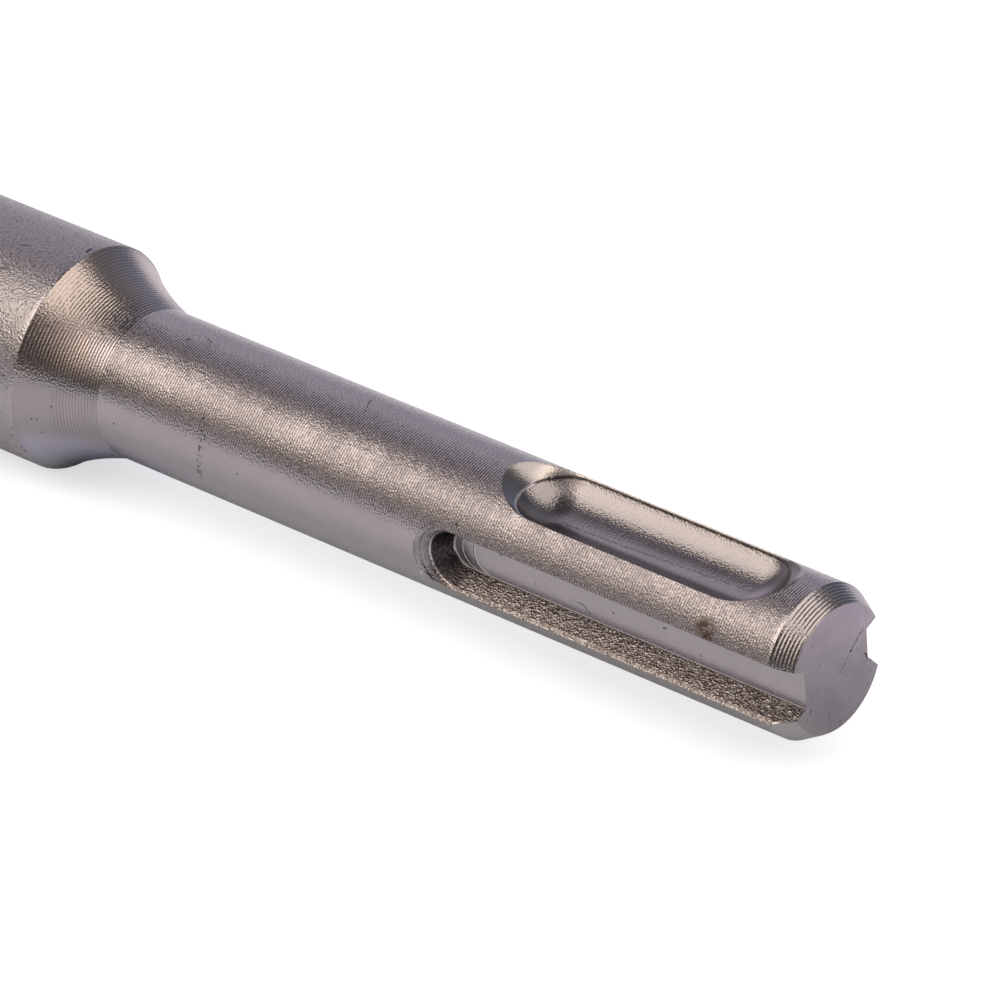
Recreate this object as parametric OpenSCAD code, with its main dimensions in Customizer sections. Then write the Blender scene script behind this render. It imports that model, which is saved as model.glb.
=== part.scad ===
// SDS-plus hammer drill bit with a two-flute helix and a hard-metal cutting plate.
// The axis of the bit is X. The centre of the shank's end face is the origin, and the tip points to -X.
// The locking pockets open up and down (Z), and the drive grooves open to the sides (Y).

/* [Shank] */
// Diameter of the shank
shank_d = 10; // [9.8:0.05:10.2]
// Length of the straight shank, from its end face to the neck
shank_length = 56.4; // [48:0.1:70]
// Diameter of the flat end face inside its chamfer
end_face_d = 8.4; // [7.6:0.1:9.2]
// Length of the chamfer at the end face, along the shank
end_chamfer_length = 1.44; // [0.8:0.02:2.2]

/* [Locking pockets] */
// Diameter of the ball that fits the pocket
pocket_ball_d = 7; // [6.6:0.1:7.4]
// Depth of the pocket's floor below the shank's surface
pocket_depth = 2.46; // [2.2:0.02:2.8]
// Distance from the end face to the pocket's inner rim
pocket_start = 4.2; // [3.6:0.1:6]
// Length of the pocket at its inner rim
pocket_length = 20; // [16:0.2:22]
// Depth of the inner rim, where the flare meets the ball's track
pocket_rim_depth = 1.06; // [0.9:0.02:1.2]
// Angle of the flare at the pocket's rim, from upright
pocket_flare_angle = 51; // [45:1:56]

/* [Drive grooves] */
// Length of the groove at the shank's surface, from the end face
groove_length = 28.7; // [26:0.1:31]
// Width of the groove's flat floor
groove_floor_width = 2.62; // [2.2:0.02:2.9]
// Depth of the groove's floor below the shank's surface
groove_depth = 2.1; // [1.8:0.02:2.3]
// Angle of each flank, from upright
groove_flank_angle = 23; // [15:1:28]
// How far the shallow run-out of the cutter reaches past the groove's end
exit_length = 0.65; // [0.4:0.05:1.6]
// Depth of that run-out where it meets the groove
exit_depth = 0.6; // [0.5:0.05:1]

/* [Neck and body] */
// Length of the conical neck between shank and body
neck_length = 5.3; // [4:0.1:9]
// Radius of the hollow curve that the neck is turned to
neck_curve_radius = 15; // [12:0.5:40]
// Diameter of the plain body and of the lands
body_d = 15.2; // [14:0.1:17]
// Radius of the edge between neck and body
body_edge_radius = 0.2; // [0.1:0.05:0.8]
// Length of the plain body before the flutes start
plain_length = 12; // [9:0.5:20]

/* [Flutes] */
// Length of one full turn of the helix
flute_lead = 50; // [40:1:80]
// Diameter of the core between the two flutes
core_d = 8.2; // [7:0.1:9.6]
// Width of a land, as an angle round the axis
land_angle = 40; // [30:1:60]
// Length over which the flutes run out into the plain body
runout_length = 16; // [10:1:30]
// Share of the flute's width that its steep leading wall takes
lead_wall_share = 0.22; // [0.15:0.01:0.4]
// Share of the flute's width that its easy trailing wall takes
trail_wall_share = 0.42; // [0.25:0.01:0.5]

/* [Head and cutting plate] */
// Length of the whole bit
total_length = 210; // [160:1:310]
// Length of the head, where the flutes straighten towards the tip
head_length = 24; // [18:1:40]
// Width of a land at the tip, as an angle round the axis
head_land_angle = 62; // [50:1:70]
// Width of the cutting plate, which is the drilling diameter
plate_width = 16.3; // [15:0.1:18]
// Thickness of the cutting plate
plate_thickness = 3.5; // [3:0.1:4]
// Height of the cutting plate from its seat to its ridge
plate_height = 11; // [9:0.5:13]
// Angle of the point
point_angle = 130; // [110:1:140]
// Clearance angle behind each cutting edge
relief_angle = 22; // [12:1:28]
// Height that the plate stands out of the steel at its ridge
plate_stand_out = 1.6; // [1.2:0.1:2.5]
// Thickness of the brazing film round the plate
braze_gap = 0.15; // [0.1:0.01:0.25]

/* [Hidden] */

steel_color = [0.52, 0.49, 0.47];
carbide_color = [0.36, 0.36, 0.38];
braze_color = [0.75, 0.58, 0.30];

// Smoothness of the turned surfaces
turned_fn = 96;
// How far a cutter runs past the face it opens
past = 1;

shank_r = shank_d / 2;
body_r = body_d / 2;
core_r = core_d / 2;
ball_r = pocket_ball_d / 2;

// The ball's track: the height of its centre over the axis, and its half width at the inner rim
track_height = shank_r - pocket_depth + ball_r;
rim_height = shank_r - pocket_rim_depth;
rim_half = sqrt(ball_r * ball_r - (track_height - rim_height) * (track_height - rim_height));
track_near = pocket_start + rim_half;
track_far = pocket_start + pocket_length - rim_half;
flare_slope = tan(pocket_flare_angle);
// The flare starts this far under the inner rim, inside the ball's track
flare_sink = 0.4;

// The drive groove: its floor's height over the axis, and the centre of its round end
floor_height = shank_r - groove_depth;
floor_half = groove_floor_width / 2;
flank_slope = tan(groove_flank_angle);
// Half the groove's width where it breaks through the shank's surface
mouth_half = mouth_half_width(floor_half, 0);
groove_end_centre = groove_length - mouth_half;
// The cutter's run-out is a cone that widens like the pockets' flare
exit_floor_r = mouth_half - exit_depth / 2;
exit_centre = groove_length + exit_length - exit_floor_r - exit_depth * flare_slope;

body_start = shank_length + neck_length;
join_at = body_start + plain_length;
steel_tip_at = total_length - plate_stand_out;
// Slope of the steel jaws away from the plate's two faces
jaw_slope = 40;
// The film stays this far inside the lands
film_r = body_r - 0.5;

// Where the flutes' solid starts inside the plain body, and how much thinner than the body it is there
flute_overlap = 0.6;
skin = 0.01;
flute_from = join_at - flute_overlap;

// Points round one ring of the helix: each land and each flute has its own steps
land_steps = 8;
flute_steps = 16;
ring_pitch = 2;
rings = ceil((total_length - flute_from) / ring_pitch);

// Where a flank that widens with height meets the round surface of the shank, found by repeated steps
function mouth_half_width(half, turns) =
    turns == 12 ? half : mouth_half_width(floor_half + flank_slope * (sqrt(shank_r * shank_r - half * half)
        - floor_height), turns + 1);

// Points of an arc about [cx, cy], from one angle to another
function arc(cx, cy, r, from, to, steps) =
    [for (i = [0:steps]) let (a = from + (to - from) * i / steps) [cx + r * cos(a), cy + r * sin(a)]];

// A smooth step from 0 to 1
function ease(t) = let (u = min(1, max(0, t))) u * u * (3 - 2 * u);

// Centre of the neck's hollow curve, which runs through the shank's end and the body's start
neck_chord = [body_r - shank_r, neck_length];
neck_half = norm(neck_chord) / 2;
neck_rise = sqrt(neck_curve_radius * neck_curve_radius - neck_half * neck_half);
neck_cx = shank_r + neck_chord.x / 2 + neck_rise * neck_chord.y / (2 * neck_half);
neck_cy = shank_length + neck_chord.y / 2 - neck_rise * neck_chord.x / (2 * neck_half);

// The rounded edge touches the neck's curve and the body: its centre, and where it leaves the curve
edge_cx = body_r - body_edge_radius;
edge_cy = neck_cy + sqrt(pow(neck_curve_radius + body_edge_radius, 2) - pow(neck_cx - edge_cx, 2));
edge_angle = atan2(neck_cy - edge_cy, neck_cx - edge_cx);
neck_first_angle = 180 - asin((shank_length - neck_cy) / neck_curve_radius);
neck_last_angle = edge_angle + 180;

// Half outline of everything that is turned: radius across, distance from the end face along
turned_outline = concat(
    [[0, 0], [end_face_d / 2, 0], [shank_r, end_chamfer_length]],
    arc(neck_cx, neck_cy, neck_curve_radius, neck_first_angle, neck_last_angle, 8),
    arc(edge_cx, edge_cy, body_edge_radius, edge_angle, 0, 4),
    [[body_r, join_at], [0, join_at]]);

// A round-ended slot that widens upwards: it runs along X between the centres of its two ends
module tapered_slot(from_x, to_x, floor_z, top_z, half, slope) {
    top_half = half + (top_z - floor_z) * slope;
    translate([from_x, 0, 0])
        rotate([90, 0, 90])
            linear_extrude(to_x - from_x)
                polygon([[-half, floor_z], [half, floor_z], [top_half, top_z], [-top_half, top_z]]);
    for (end = [[from_x, 90], [to_x, -90]])
        translate([end.x, 0, 0])
            rotate([0, 0, end.y])
                rotate_extrude(angle = 180, $fn = turned_fn)
                    polygon([[0, floor_z], [half, floor_z], [top_half, top_z], [0, top_z]]);
}

// The track that a ball cuts: a round bar with ball ends along X
module ball_track(from_x, to_x, r) {
    span = to_x - from_x;
    translate([from_x, 0, 0])
        rotate([0, 90, 0])
            rotate_extrude($fn = turned_fn) {
                square([r, span]);
                intersection() {
                    circle(r, $fn = turned_fn);
                    translate([0, -r])
                        square(r);
                }
                translate([0, span])
                    intersection() {
                        circle(r, $fn = turned_fn);
                        square(r);
                    }
            }
}

// Closed pocket for the locking ball, opening upwards
module locking_pocket() {
    translate([0, 0, track_height])
        ball_track(-track_far, -track_near, ball_r);
    tapered_slot(-track_far, -track_near, rim_height - flare_sink, shank_r + past,
        rim_half - flare_sink * flare_slope, flare_slope);
}

// Open groove for the drive key, opening upwards, with the deeper spot and the run-out at its closed end
module drive_groove() {
    tapered_slot(-groove_end_centre, past, floor_height, shank_r + past, floor_half, flank_slope);
    translate([-exit_centre, 0, shank_r - exit_depth])
        cylinder(h = exit_depth + past, r1 = exit_floor_r, r2 = exit_floor_r + (exit_depth + past) * flare_slope,
            $fn = turned_fn);
}

// Shank, neck and plain body, with the pockets and grooves cut
module turned_bar() {
    difference() {
        rotate([0, -90, 0])
            rotate_extrude($fn = turned_fn)
                polygon(turned_outline);
        for (side = [0, 180])
            rotate([side, 0, 0])
                locking_pocket();
        for (side = [90, -90])
            rotate([side, 0, 0])
                drive_groove();
    }
}

// Turn of the helix at a distance u back from the tip: it starts slowly in the head
head_turn_share = 0.08;
full_rate = 360 / flute_lead;
function twist(u) = let (v = min(u, head_length))
    full_rate * (head_turn_share * v + (1 - head_turn_share) * v * v / (2 * head_length) + max(0, u - head_length));

// Half the land's width at distance u back from the tip, in degrees
function land_half(u) = (land_angle + (head_land_angle - land_angle) * (1 - ease(u / head_length))) / 2;

// How far the flute is opened at distance s from the end face: 0 at its start, 1 at full depth
function opening(s) = sin(90 * min(1, max(0.0004, (s - join_at) / runout_length)));

// Depth profile across a flute: from the land that runs ahead of it (-1) to the face of the next land (1)
function flute_shape(t) =
    t < 0 ? ease((1 + t) / (2 * trail_wall_share)) : ease((1 - t) / (2 * lead_wall_share));

// One half of a ring, [angle, radius]: a land about angle 0 and then the flute that follows it
function half_ring(s) = let (
        k = opening(s),
        full = 90 - land_half(total_length - s),
        half = full * sqrt(k),
        outer = body_r - skin,
        edge = 90 - half)
    concat(
        [for (i = [0:land_steps]) [-edge + 2 * edge * i / land_steps, outer]],
        [for (i = [1:flute_steps - 1]) let (t = -1 + 2 * i / flute_steps)
            [90 + half * t, outer - (body_r - core_r) * k * flute_shape(t)]]);

// One full ring in space
function ring(s) = let (turn = twist(total_length - s), points = half_ring(s))
    [for (side = [0, 180]) for (p = points) let (a = p[0] + side + turn) [-s, p[1] * cos(a), p[1] * sin(a)]];

ring_size = 2 * (land_steps + flute_steps);

// The fluted part of the bar, from inside the plain body to beyond the tip
module fluted_bar() {
    stations = [for (i = [0:rings]) flute_from + (total_length - flute_from) * i / rings];
    points = [for (s = stations) each ring(s)];
    sides = [for (i = [0:rings - 1]) for (j = [0:ring_size - 1])
        let (a = i * ring_size + j, b = i * ring_size + (j + 1) % ring_size)
        each [[a, b, a + ring_size], [b, b + ring_size, a + ring_size]]];
    first_cap = [[for (j = [ring_size - 1:-1:0]) j]];
    last_cap = [[for (j = [0:ring_size - 1]) rings * ring_size + j]];
    polyhedron(points = points, faces = concat(first_cap, sides, last_cap), convexity = 8);
}

// The two sloping faces of a roof along Z, as a cutter for all that lies beyond it
module beyond_roof(ridge_at, slope_angle) {
    for (side = [1, -1])
        translate([-ridge_at, 0, 0])
            rotate([0, 0, side * slope_angle])
                translate([-3 * body_d, -2 * body_d, -2 * body_d])
                    cube([3 * body_d, 4 * body_d, 4 * body_d]);
}

// The slot across the head, with room for the film round the plate
module plate_slot(width) {
    translate([-total_length - past, -width / 2, -plate_thickness / 2 - braze_gap])
        cube([plate_height + braze_gap + past, width, plate_thickness + 2 * braze_gap]);
}

// The plate before its point is ground
module plate_blank() {
    translate([-total_length, -plate_width / 2, -plate_thickness / 2])
        cube([plate_height, plate_width, plate_thickness]);
}

// The one-piece steel bar
module steel_body() {
    color(steel_color) {
        turned_bar();
        difference() {
            fluted_bar();
            beyond_roof(steel_tip_at, 90 - point_angle / 2);
            rotate([90, 0, 0])
                beyond_roof(steel_tip_at + plate_thickness / 2 * tan(jaw_slope), jaw_slope);
            plate_slot(2 * body_d);
        }
    }
}

// Hard-metal plate: two sloping faces, each ground back from its own cutting edge, meet in the chisel edge
module carbide_plate() {
    color(carbide_color)
        difference() {
            plate_blank();
            for (side = [0, 180])
                rotate([side, 0, 0])
                    translate([-total_length, 0, 0])
                        rotate([0, 0, point_angle / 2 - 90])
                            rotate([0, relief_angle, 0])
                                translate([-2 * plate_height, -plate_width, -plate_width])
                                    cube([2 * plate_height, 2 * plate_width, 2 * plate_width]);
        }
}

// Film of brazing alloy between the plate and its slot
module braze_seam() {
    color(braze_color)
        difference() {
            intersection() {
                plate_slot(2 * body_r);
                translate([-total_length, 0, 0])
                    rotate([0, 90, 0])
                        cylinder(h = 2 * plate_height, r = film_r, $fn = turned_fn);
            }
            plate_blank();
            beyond_roof(steel_tip_at, 90 - point_angle / 2);
        }
}

steel_body();
carbide_plate();
braze_seam();
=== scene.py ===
"""Hammer drill bit: a finely modelled steel bar, hard-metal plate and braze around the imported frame."""

import math
from types import SimpleNamespace

import bmesh
import bpy
import numpy as np
from bpy.props import FloatProperty, FloatVectorProperty, PointerProperty
from bpy.types import Operator, Panel, PropertyGroup
from mathutils import Matrix, Vector


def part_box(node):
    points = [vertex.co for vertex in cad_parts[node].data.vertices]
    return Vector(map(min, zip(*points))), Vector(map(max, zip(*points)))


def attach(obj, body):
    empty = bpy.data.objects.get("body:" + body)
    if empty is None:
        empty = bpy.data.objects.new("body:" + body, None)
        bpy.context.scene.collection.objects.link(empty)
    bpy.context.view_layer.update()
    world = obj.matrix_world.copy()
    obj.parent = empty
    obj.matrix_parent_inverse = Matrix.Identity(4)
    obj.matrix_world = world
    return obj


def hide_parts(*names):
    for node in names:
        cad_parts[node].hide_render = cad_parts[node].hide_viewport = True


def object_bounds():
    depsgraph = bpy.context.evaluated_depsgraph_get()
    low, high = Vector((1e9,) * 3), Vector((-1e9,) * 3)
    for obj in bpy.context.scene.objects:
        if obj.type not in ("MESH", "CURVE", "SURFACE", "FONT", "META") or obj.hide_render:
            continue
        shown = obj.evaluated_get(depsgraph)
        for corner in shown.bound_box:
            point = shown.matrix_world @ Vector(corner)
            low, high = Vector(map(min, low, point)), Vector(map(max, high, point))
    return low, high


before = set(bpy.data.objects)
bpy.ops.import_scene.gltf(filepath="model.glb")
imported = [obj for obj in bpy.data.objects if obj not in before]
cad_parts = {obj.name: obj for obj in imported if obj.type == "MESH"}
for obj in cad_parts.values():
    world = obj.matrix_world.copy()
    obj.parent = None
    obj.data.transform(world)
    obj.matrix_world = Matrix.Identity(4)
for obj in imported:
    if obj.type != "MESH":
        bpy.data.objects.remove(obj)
CAD_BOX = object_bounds()
STEEL_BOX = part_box("steel_body")
PLATE_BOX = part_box("carbide_plate")
BRAZE_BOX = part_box("braze_seam")

bl_info = {
    "name": "Hammer drill bit",
    "version": (1, 0, 0),
    "blender": (4, 5, 0),
    "location": "3D View > Sidebar > Drill Bit",
    "description": "Builds the turned and blasted steel, the hard-metal plate and the studio of a drill bit",
    "category": "Add Mesh",
}

MM = 0.001
BODY = "root"


# Sizes and colours that a user would change

def length(name, default_mm, description):
    """A length property, given in millimetres and kept in metres."""
    return FloatProperty(name=name, description=description, default=default_mm * MM, min=0, unit="LENGTH")


def colour(name, default, description):
    return FloatVectorProperty(name=name, description=description, default=default, subtype="COLOR", size=3,
                               min=0, max=1)


class BitSizes(PropertyGroup):
    """Sizes of the bit, measured along its axis from the shank's end face."""
    shank_radius: length("Shank radius", 5.0, "Radius of the shank")
    end_face_radius: length("End face radius", 4.2, "Radius of the flat end face")
    chamfer_length: length("Chamfer length", 1.44, "Length of the chamfer at the end face")
    ball_radius: length("Ball radius", 3.5, "Radius of the ball that cut the pocket")
    pocket_depth: length("Pocket depth", 2.46, "Depth of the pocket's floor")
    pocket_start: length("Pocket start", 4.2, "Distance from the end face to the pocket's inner rim")
    pocket_length: length("Pocket length", 20.0, "Length of the pocket's inner rim")
    pocket_rim_depth: length("Pocket rim depth", 1.06, "Depth of the pocket's inner rim")
    groove_length: length("Groove length", 28.7, "Length of the open groove")
    groove_floor_width: length("Groove floor", 2.62, "Width of the groove's floor")
    groove_depth: length("Groove depth", 2.1, "Depth of the groove's floor")
    exit_length: length("Exit length", 0.65, "Reach of the cutter's shallow run-out past the groove")
    exit_depth: length("Exit depth", 0.6, "Depth of that run-out")
    shank_length: length("Shank length", 56.4, "Distance from the end face to the neck")
    neck_length: length("Neck length", 5.3, "Length of the neck")
    neck_curve: length("Neck curve", 15.0, "Radius of the neck's hollow curve")
    body_radius: length("Body radius", STEEL_BOX[1].z / MM, "Radius of the body and of the lands")
    body_edge: length("Body edge", 0.2, "Radius of the edge between neck and body")
    plain_length: length("Plain length", 12.0, "Length of the plain body")
    core_radius: length("Core radius", 4.1, "Radius of the core between the flutes")
    flute_lead: length("Flute lead", 50.0, "Length of one turn of the helix")
    runout_length: length("Run-out length", 16.0, "Length over which the flutes run out")
    head_length: length("Head length", 24.0, "Length over which the flutes straighten at the head")
    total_length: length("Total length", -PLATE_BOX[0].x / MM, "Length of the whole bit")
    stand_out: length("Stand-out", 1.6, "Height of the plate's ridge over the steel")


class BitFinish(PropertyGroup):
    """Colours of the bit."""
    steel: colour("Steel", (0.368, 0.348, 0.355), "Colour of the turned and blasted steel")
    roughness: FloatProperty(name="Roughness", description="Mean roughness of the steel", default=0.25, min=0, max=1)
    line_depth: length("Turning marks", 0.020, "Depth of the fine turning marks")
    grain_depth: length("Grain", 0.035, "Depth of the blasted grain")
    hard_metal: colour("Hard metal", (0.20, 0.20, 0.215), "Colour of the cutting plate")
    braze: colour("Braze", (0.62, 0.40, 0.18), "Colour of the brazing alloy")
    stain: colour("Stain", (0.075, 0.042, 0.020), "Colour of the small rust stain")


class StudioSettings(PropertyGroup):
    """Camera and light of the studio."""
    lens: FloatProperty(name="Lens", description="Focal length on a 36 mm sensor", default=0.2854, unit="CAMERA")
    camera_at: FloatVectorProperty(name="Camera", description="Camera's place before the bit is turned",
                                   default=(0.2593, -0.3219, 0.2285), subtype="TRANSLATION")
    azimuth: FloatProperty(name="Azimuth", description="Direction the camera looks in, from +Y",
                           default=math.radians(41.63), subtype="ANGLE")
    elevation: FloatProperty(name="Elevation", description="Angle that the camera looks down",
                             default=math.radians(27.74), subtype="ANGLE")
    bit_turn: FloatProperty(name="Bit turn", description="How far the bit is turned about its axis in the picture",
                            default=math.radians(5.6), subtype="ANGLE")
    floor: colour("Floor", (0.78, 0.85, 0.90), "Colour of the floor")
    lift: FloatProperty(name="Lift", description="Light added to the floor where the camera sees it",
                        default=0.62, min=0)
    glow: FloatProperty(name="Glow", description="Light added to the floor where the bit mirrors it",
                        default=0.29, min=0)
    key: FloatProperty(name="Key", description="Power of the key panel", default=4.0, unit="POWER")
    second: FloatProperty(name="Second", description="Power of the second panel", default=5.6, unit="POWER")


# Shader maths: values as expressions

class Value:
    """A number or colour that comes out of a node. Arithmetic on numbers adds Math nodes."""

    def __init__(self, graph, socket):
        self.graph = graph
        self.socket = socket

    def __add__(self, other):
        return self.graph.maths("ADD", self, other)

    __radd__ = __add__

    def __sub__(self, other):
        return self.graph.maths("SUBTRACT", self, other)

    def __rsub__(self, other):
        return self.graph.maths("SUBTRACT", other, self)

    def __mul__(self, other):
        return self.graph.maths("MULTIPLY", self, other)

    __rmul__ = __mul__


class Graph:
    """The nodes of a material or of the world."""

    def __init__(self, owner):
        self.owner = owner
        owner.use_nodes = True
        self.tree = owner.node_tree
        self.tree.nodes.clear()

    def node(self, kind, settings=None, sockets=None, out=0):
        """Adds a node, sets it, fills its sockets with numbers or values, and gives one of its outputs."""
        made = self.tree.nodes.new(kind)
        for key, value in (settings or {}).items():
            setattr(made, key, value)
        for key, value in (sockets or {}).items():
            if isinstance(value, Value):
                self.tree.links.new(value.socket, made.inputs[key])
            else:
                made.inputs[key].default_value = value
        return Value(self, made.outputs[out]) if made.outputs else None

    def maths(self, operation, *terms):
        return self.node("ShaderNodeMath", {"operation": operation}, dict(enumerate(terms)))

    def size(self, value):
        """The value without its sign."""
        return self.maths("ABSOLUTE", value)

    def root(self, value):
        return self.maths("SQRT", value)

    def most(self, *values):
        """The highest of some values."""
        highest = values[0]
        for value in values[1:]:
            highest = self.maths("MAXIMUM", highest, value)
        return highest

    def step(self, value, low, high):
        """0 at low, 1 at high, and smooth between them. low may be the higher number."""
        if low < high:
            return self.node("ShaderNodeMapRange", {"interpolation_type": "SMOOTHSTEP"},
                             {"Value": value, "From Min": low, "From Max": high})
        return 1 - self.step(value, high, low)

    def noise(self, place, scale, detail=2.0, roughness=0.5, out=0):
        """Noise from 0 to 1, with scale in waves per millimetre. Output 1 is three noises as a colour."""
        return self.node("ShaderNodeTexNoise", None, {"Vector": place, "Scale": scale, "Detail": detail,
                                                      "Roughness": roughness}, out)

    def cells(self, place, scale):
        """Round cells like the dents of blasting: the distance from a cell's middle, and a random number for each."""
        dent = self.node("ShaderNodeTexVoronoi", None, {"Vector": place, "Scale": scale})
        shade = Value(self, dent.socket.node.outputs["Color"])
        return dent, self.node("ShaderNodeSeparateColor", None, {0: shade})

    def vector(self, operation, *terms, out=0):
        return self.node("ShaderNodeVectorMath", {"operation": operation}, dict(enumerate(terms)), out)

    def reach(self, at, start, end):
        """Distance from the line between two points."""
        along = Vector(end) - Vector(start)
        from_start = self.vector("SUBTRACT", at, start)
        if along.length == 0:
            return self.vector("LENGTH", from_start, out=1)
        share = self.node("ShaderNodeMapRange", None, {"Value": self.vector("DOT_PRODUCT", from_start, along, out=1),
                                                       "From Max": along.length_squared})
        foot = self.node("ShaderNodeVectorMath", {"operation": "SCALE"}, {0: along, 3: share})
        return self.vector("DISTANCE", from_start, foot, out=1)

    def stretch(self, place, factors):
        return self.vector("MULTIPLY", place, factors)

    def mix(self, share, first, second):
        """Mixes two colours."""
        def full(shade):
            return shade if isinstance(shade, Value) else (*shade, 1)
        return self.node("ShaderNodeMix", {"data_type": "RGBA"},
                         {"Factor": share, 6: full(first), 7: full(second)}, out=2)

    def place(self):
        """The point on the object in millimetres."""
        return self.stretch(self.node("ShaderNodeTexCoord", out=3), (1 / MM, 1 / MM, 1 / MM))

    def parts(self, at):
        """The x, y and z of a point."""
        return [self.node("ShaderNodeSeparateXYZ", None, {0: at}, out=i) for i in range(3)]

    def bump(self, height, distance):
        """Tilts the surface by a height that is counted in distances, with the distance in millimetres."""
        return self.node("ShaderNodeBump", None, {"Height": height, "Distance": distance * MM, "Strength": 1.0})

    def finish(self, constants, **varying):
        """Ends the material in one Principled shader."""
        shader = self.node("ShaderNodeBsdfPrincipled", None,
                           {**constants, **{key.replace("_", " "): value for key, value in varying.items()}})
        self.node("ShaderNodeOutputMaterial", None, {"Surface": shader})
        return self.owner


# Meshes

def sizes_in_mm():
    group = bpy.context.scene.bit_sizes
    sizes = SimpleNamespace(**{name: getattr(group, name) / MM for name in BitSizes.__annotations__})
    sizes.neck_end = sizes.shank_length + sizes.neck_length
    sizes.flutes_from = sizes.neck_end + sizes.plain_length
    return sizes


def ease(t):
    t = np.clip(t, 0, 1)
    return t * t * (3 - 2 * t)


# Forms of the steel that no user would change. Lengths are in millimetres and angles in degrees.
TURNING_PITCH = 0.201                   # distance between two turns of the lathe tool
CHAMFER_CREST, NECK_CREST = 0.034, 0.016    # height of the ridges between the turns
END_EDGE = 0.06                         # radius of the edge round the end face
AROUND = 192                            # points round the bar
TIP_PAST = 2.0                          # the bar is turned this much longer, and the head is cut out of it
LAND_ANGLE, HEAD_LAND_ANGLE = 40.0, 62.0    # how far a land reaches round the bit, and at the tip
HEAD_TURN_SHARE = 0.08                  # share of the helix's turn that is left at the tip
LEAD_WALL, TRAIL_WALL = 0.22, 0.42      # share of half a flute that its two walls take up
RIM_NEAR, RIM_FAR = -0.28, 1.0          # tilt of the neck's rim: how far it is shifted on its two sides
NEAR_ANGLE = 35.0                       # where the rim is shifted by RIM_NEAR, from the top toward the camera
RIM_FADE = (0.5, 4.0)                   # past the neck, where the shift begins to fade and over what length
PLAIN_FROM = 2.5                        # the neck's last 2.5 mm have no ridges on its lower side
LOWER_FROM, LOWER_FADE = 60.0, 20.0     # angle from the top where that side begins, and its soft border


def scallop(along):
    """Depth, as a share, of the hollow that each turn of the tool left. along is counted in turns."""
    t = along % 1
    return 4 * t * (1 - t)


class Outline:
    """The turned outline: radius at each distance from the end face."""

    def __init__(self, sizes):
        self.sizes = z = sizes
        self.ridged = 1.0    # share of the neck's ridges, a number or one for each point
        across, along = z.body_radius - z.shank_radius, z.neck_length
        half = math.hypot(across, along) / 2
        rise = math.sqrt(z.neck_curve ** 2 - half ** 2)
        self.curve_r = z.shank_radius + across / 2 + rise * along / (2 * half)
        self.curve_s = z.shank_length + along / 2 - rise * across / (2 * half)
        self.edge_r = z.body_radius - z.body_edge
        reach = z.neck_curve + z.body_edge
        self.edge_s = self.curve_s + math.sqrt(reach ** 2 - (self.curve_r - self.edge_r) ** 2)
        self.touch_s = self.curve_s + (self.edge_s - self.curve_s) * z.neck_curve / reach

    def radius(self, s):
        z = self.sizes
        chamfer = z.end_face_radius + (z.shank_radius - z.end_face_radius) * s / z.chamfer_length
        chamfer = chamfer - CHAMFER_CREST * scallop(s / TURNING_PITCH)
        corner = np.clip(END_EDGE - s, 0, None)
        chamfer = chamfer - END_EDGE + np.sqrt(np.clip(END_EDGE ** 2 - corner ** 2, 0, None))
        curve = self.curve_r - np.sqrt(np.clip(z.neck_curve ** 2 - (s - self.curve_s) ** 2, 0, None))
        curve = curve - NECK_CREST * self.ridged * scallop((s - z.shank_length) / TURNING_PITCH)
        edge = self.edge_r + np.sqrt(np.clip(z.body_edge ** 2 - np.clip(self.edge_s - s, 0, None) ** 2, 0, None))
        r = np.where(s < z.chamfer_length, np.minimum(chamfer, z.shank_radius), z.shank_radius)
        r = np.where(s > z.shank_length, curve, r)
        return np.where(s > self.touch_s, edge, r)

    def stations(self):
        z = self.sizes
        ring = TURNING_PITCH / 6
        return spaced((0, END_EDGE, 0.012), (END_EDGE, z.chamfer_length, ring), (z.chamfer_length, z.shank_length, 2.4),
                      (z.shank_length, self.touch_s, ring), (self.touch_s, self.edge_s, 0.04),
                      (self.edge_s, z.flutes_from, 0.9), (z.flutes_from, z.flutes_from + 1.6, 0.2),
                      (z.flutes_from + 1.6, z.flutes_from + z.runout_length, 0.7),
                      (z.flutes_from + z.runout_length, z.total_length + TIP_PAST, 1.2))


def spaced(*stretches):
    """Stations along the bar: each stretch is (from, to, spacing)."""
    parts = [np.linspace(a, b, max(1, round((b - a) / gap)), endpoint=False) for a, b, gap in stretches]
    return np.concatenate([*parts, [stretches[-1][1]]])


def twist(sizes, u):
    """Turn of the helix in degrees, at a distance u back from the tip."""
    v = np.minimum(u, sizes.head_length)
    slow = HEAD_TURN_SHARE * v + (1 - HEAD_TURN_SHARE) * v * v / (2 * sizes.head_length)
    return 360 / sizes.flute_lead * (slow + np.maximum(0, u - sizes.head_length))


def flute_depth(sizes, s, around):
    """Depth of the flutes at angles in degrees from the middle of a land, in the turning frame."""
    z = sizes
    opening = np.sin(np.radians(90 * np.clip((s - z.flutes_from) / z.runout_length, 0, 1)))
    land_half = (LAND_ANGLE + (HEAD_LAND_ANGLE - LAND_ANGLE) * (1 - ease((z.total_length - s) / z.head_length))) / 2
    flute_half = np.maximum((90 - land_half) * np.sqrt(opening), 0.01)
    t = np.clip((around % 180 - 90) / flute_half, -1, 1)
    wall = np.where(t < 0, ease((1 + t) / (2 * TRAIL_WALL)), ease((1 - t) / (2 * LEAD_WALL)))
    return (z.body_radius - z.core_radius) * opening * wall


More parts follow.
